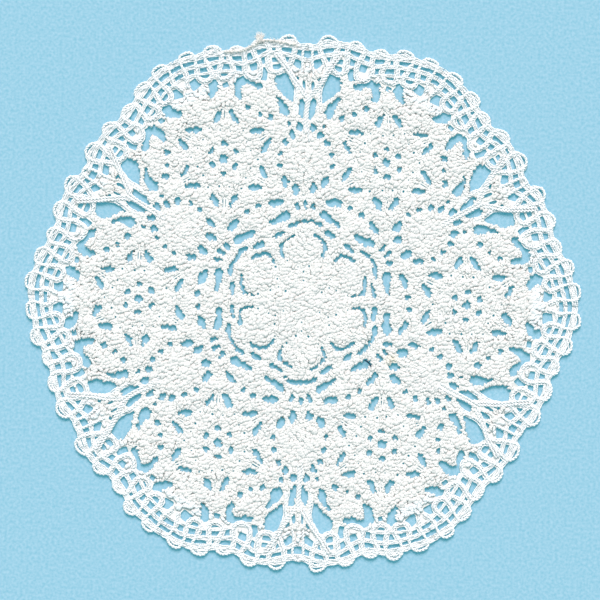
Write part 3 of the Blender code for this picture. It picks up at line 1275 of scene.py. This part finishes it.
def zone_of(rows):
    """The name of each stitch's zone."""
    x, y = rows[:, 0] + MIDDLE[0], rows[:, 1] + MIDDLE[1]
    out = np.hypot(x, y)
    zones = np.full(len(rows), "hem_stitches", dtype=object)
    zones[out < BAND_REACH] = "band_stitches"
    zones[np.hypot(*from_rosette(x, y)) < ROSETTE_REACH] = "rosette_stitches"
    zones[out < FLOWER_REACH] = "flower_stitches"
    return zones


def build_doily():
    """The ground sheet and its stitches."""
    wound = all_round(wound_openings(), WIDENING, WOUND_UNEVENNESS, True)
    wound = [lace_on_left(outline, False) for outline in wound]
    plain = [*all_round(plain_openings(), 0, PLAIN_UNEVENNESS, False), *border_cells()]
    plain = [lace_on_left(outline, False) for outline in plain]
    edge = lace_on_left(ground_edge(), True)
    under_edging = [inset_outline(outline, GROUND_INSET) for outline in wound]
    sheet = ground_mesh([edge, *under_edging, *plain])
    ground = add_piece("lace_ground", sheet, cotton("ground_cotton", False, FILL_WHITE))
    ropes, threads = border_strands()
    strand_tree = tree_of(np.concatenate([places[::2] for places, girth in ropes + threads]))
    edge_map = EdgeMap(wound, [edge, *plain])
    edging = clear_of(strand_tree, edging_stitches(wound))
    fill = clear_of(strand_tree, fill_stitches(edge_map))
    thread = cotton("thread_cotton", True, FILL_WHITE)
    # The ropes, threads and hem stitches get the border's cotton, painted lighter and bluer than the
    # rest.
    rope_cotton_painted_light = cotton("rope_cotton_painted_light", True, ROPE_WHITE_WITH_PAINTED_LIGHT, ROPE_PAINTED_BLUE_BOUNCE)
    edging_zones, fill_zones = zone_of(edging), zone_of(fill)
    for zone in sorted(set(fill_zones)):
        edges, solid = edging[edging_zones == zone], fill[fill_zones == zone]
        mesh = stitch_mesh(zone, [(edges, EDGING_RINGS), (solid, FILL_RINGS)])
        add_piece(zone, mesh, rope_cotton_painted_light if zone == "hem_stitches" else thread)
    for name, strands, material in (
        ("border_rope", ropes, rope_cotton_painted_light),
        ("border_threads", threads, rope_cotton_painted_light),
        ("loose_yarn", loose_yarn(), worn_fibre("grey_yarn", *GREY_YARN)),
        ("dark_fibre", dark_fibre(), worn_fibre("navy_fibre", *NAVY_FIBRE)),
    ):
        add_piece(name, strands_mesh(name, strands), material)
    under = [(underside_stitches(edge_map, strand_tree), UNDERSIDE_RINGS)]
    under = stitch_mesh("underside_stitches", under, -1)
    add_piece("underside_stitches", under, thread)
    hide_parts(NODE)


def build_stage():
    """Pale blue paper under the doily."""
    bpy.ops.mesh.primitive_plane_add(size=PAPER_SIZE, location=(0, 0, 0))
    floor = bpy.context.object
    floor.name = "paper"
    floor.data.materials.append(blue_paper())


SUN_ENERGY = 4.10
SUN_COLOR = (1.0, 0.852, 0.841)
SUN_ANGLE = math.radians(30)
SUN_TILT = math.radians(-47)
SURROUND_COLOR = (0.62, 1.0, 1.04, 1)
SURROUND_STRENGTH = 0.50


def light_scene():
    """A soft light from the picture's top, and an even pale surround."""
    sun = bpy.data.lights.new("key", "SUN")
    sun.energy = SUN_ENERGY
    sun.color = SUN_COLOR
    sun.angle = SUN_ANGLE
    linked("key", sun).rotation_euler = (SUN_TILT, 0, 0)
    world = bpy.data.worlds.new("surround")
    world.use_nodes = True
    back = world.node_tree.nodes["Background"]
    back.inputs["Color"].default_value = SURROUND_COLOR
    back.inputs["Strength"].default_value = SURROUND_STRENGTH
    bpy.context.scene.world = world


PICTURE_WIDTH = 165.0
PICTURE_MIDDLE = (-0.8, 0.44)
PICTURE_TURN = 1.25
LENS = 135
SENSOR = 36


def add_camera():
    """A long lens straight above, turned as the photograph is."""
    data = bpy.data.cameras.new("camera")
    data.lens = LENS
    data.sensor_width = SENSOR
    camera = linked("camera", data)
    distance = PICTURE_WIDTH * LENS / SENSOR
    x, y = from_middle(*turned(*PICTURE_MIDDLE, PICTURE_TURN))
    camera.location = (x * MM, y * MM, distance * MM)
    camera.rotation_euler = (0, 0, math.radians(PICTURE_TURN))
    bpy.context.scene.camera = camera


bpy.context.scene.view_settings.view_transform = "Standard"
build_doily()
build_stage()
light_scene()
add_camera()
